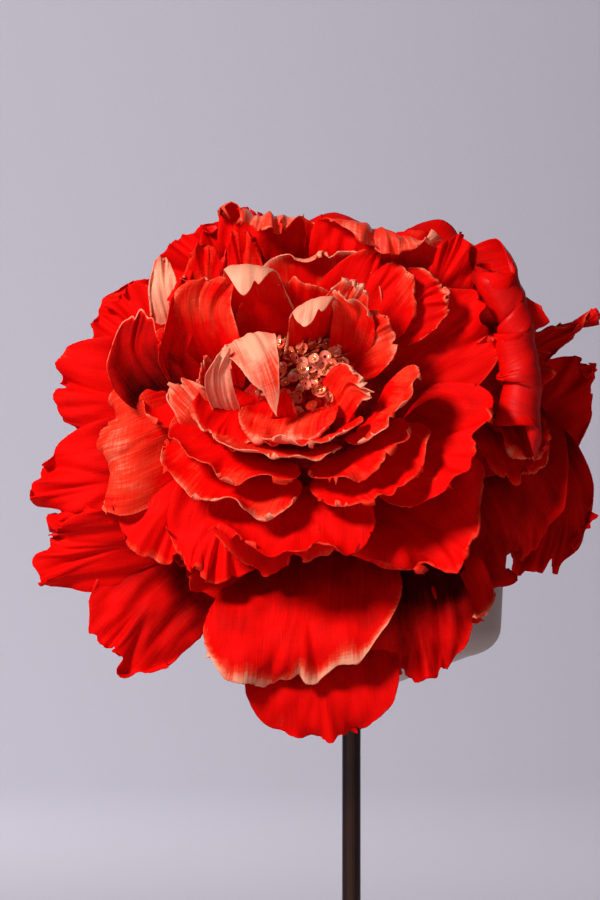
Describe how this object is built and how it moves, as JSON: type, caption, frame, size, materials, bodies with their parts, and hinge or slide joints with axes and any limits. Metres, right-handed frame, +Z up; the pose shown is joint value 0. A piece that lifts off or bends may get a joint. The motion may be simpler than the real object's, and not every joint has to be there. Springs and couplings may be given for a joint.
{
  "type": "silk peony in a pedestal vase",
  "caption": "Large red silk peony with a sequin and bead heart, its wired stem held in a shallow round cup on a thin rod with a weighted round foot.",
  "frame": {"origin": "centre of the felt pad's underside, on the rod's axis", "axes": "+Z up along the rod, -Y towards the side that the flower faces, +X to that viewer's right"},
  "size_m": [0.2888, 0.2462, 0.5491],
  "materials": {
    "red silk": "matte fine weave, satin and paler on the back",
    "sequins and beads": "glossy translucent pink-red cups with gold edges, gold beads",
    "greige cup": "frosted, softly translucent",
    "bronzed steel": "dark bronze, satin",
    "zinc steel": "plated",
    "felt": "felted",
    "foam": "open-celled, matte",
    "stem wrap": "wound crepe tape"
  },
  "bodies": {
    "root": {"backing": "red silk", "bowl_petal_01": "red silk", "bowl_petal_02": "red silk", "bowl_petal_03": "red silk", "bowl_petal_04": "red silk", "bowl_petal_05": "red silk", "bowl_petal_06": "red silk", "bowl_petal_07": "red silk", "cup": "greige cup", "cup_screw": "zinc steel", "felt_pad": "felt", "flower_form": "red silk", "foam": "foam", "foot": "bronzed steel", "foot_screw": "zinc steel", "heart_petal_01": "red silk", "heart_petal_02": "red silk", "heart_petal_03": "red silk", "heart_petal_04": "red silk", "heart_petal_05": "red silk", "heart_petal_06": "red silk", "heart_petal_07": "red silk", "heart_petal_08": "red silk", "inner_petal_01": "red silk", "inner_petal_02": "red silk", "inner_petal_03": "red silk", "inner_petal_04": "red silk", "inner_petal_05": "red silk", "inner_petal_06": "red silk", "inner_petal_07": "red silk", "inner_petal_08": "red silk", "inner_petal_09": "red silk", "inner_petal_10": "red silk", "middle_petal_01": "red silk", "middle_petal_02": "red silk", "middle_petal_03": "red silk", "middle_petal_04": "red silk", "middle_petal_05": "red silk", "middle_petal_06": "red silk", "middle_petal_07": "red silk", "middle_petal_08": "red silk", "middle_petal_09": "red silk", "outer_petal_01": "red silk", "outer_petal_02": "red silk", "outer_petal_03": "red silk", "outer_petal_04": "red silk", "outer_petal_05": "red silk", "outer_petal_06": "red silk", "outer_petal_07": "red silk", "outer_petal_08": "red silk", "outer_petal_09": "red silk", "rod": "bronzed steel", "sequin_heart": "sequins and beads", "skirt_petal_01": "red silk", "skirt_petal_02": "red silk", "skirt_petal_03": "red silk", "skirt_petal_04": "red silk", "skirt_petal_05": "red silk", "skirt_petal_06": "red silk", "stem": "stem wrap"}
  },
  "joints": []
}
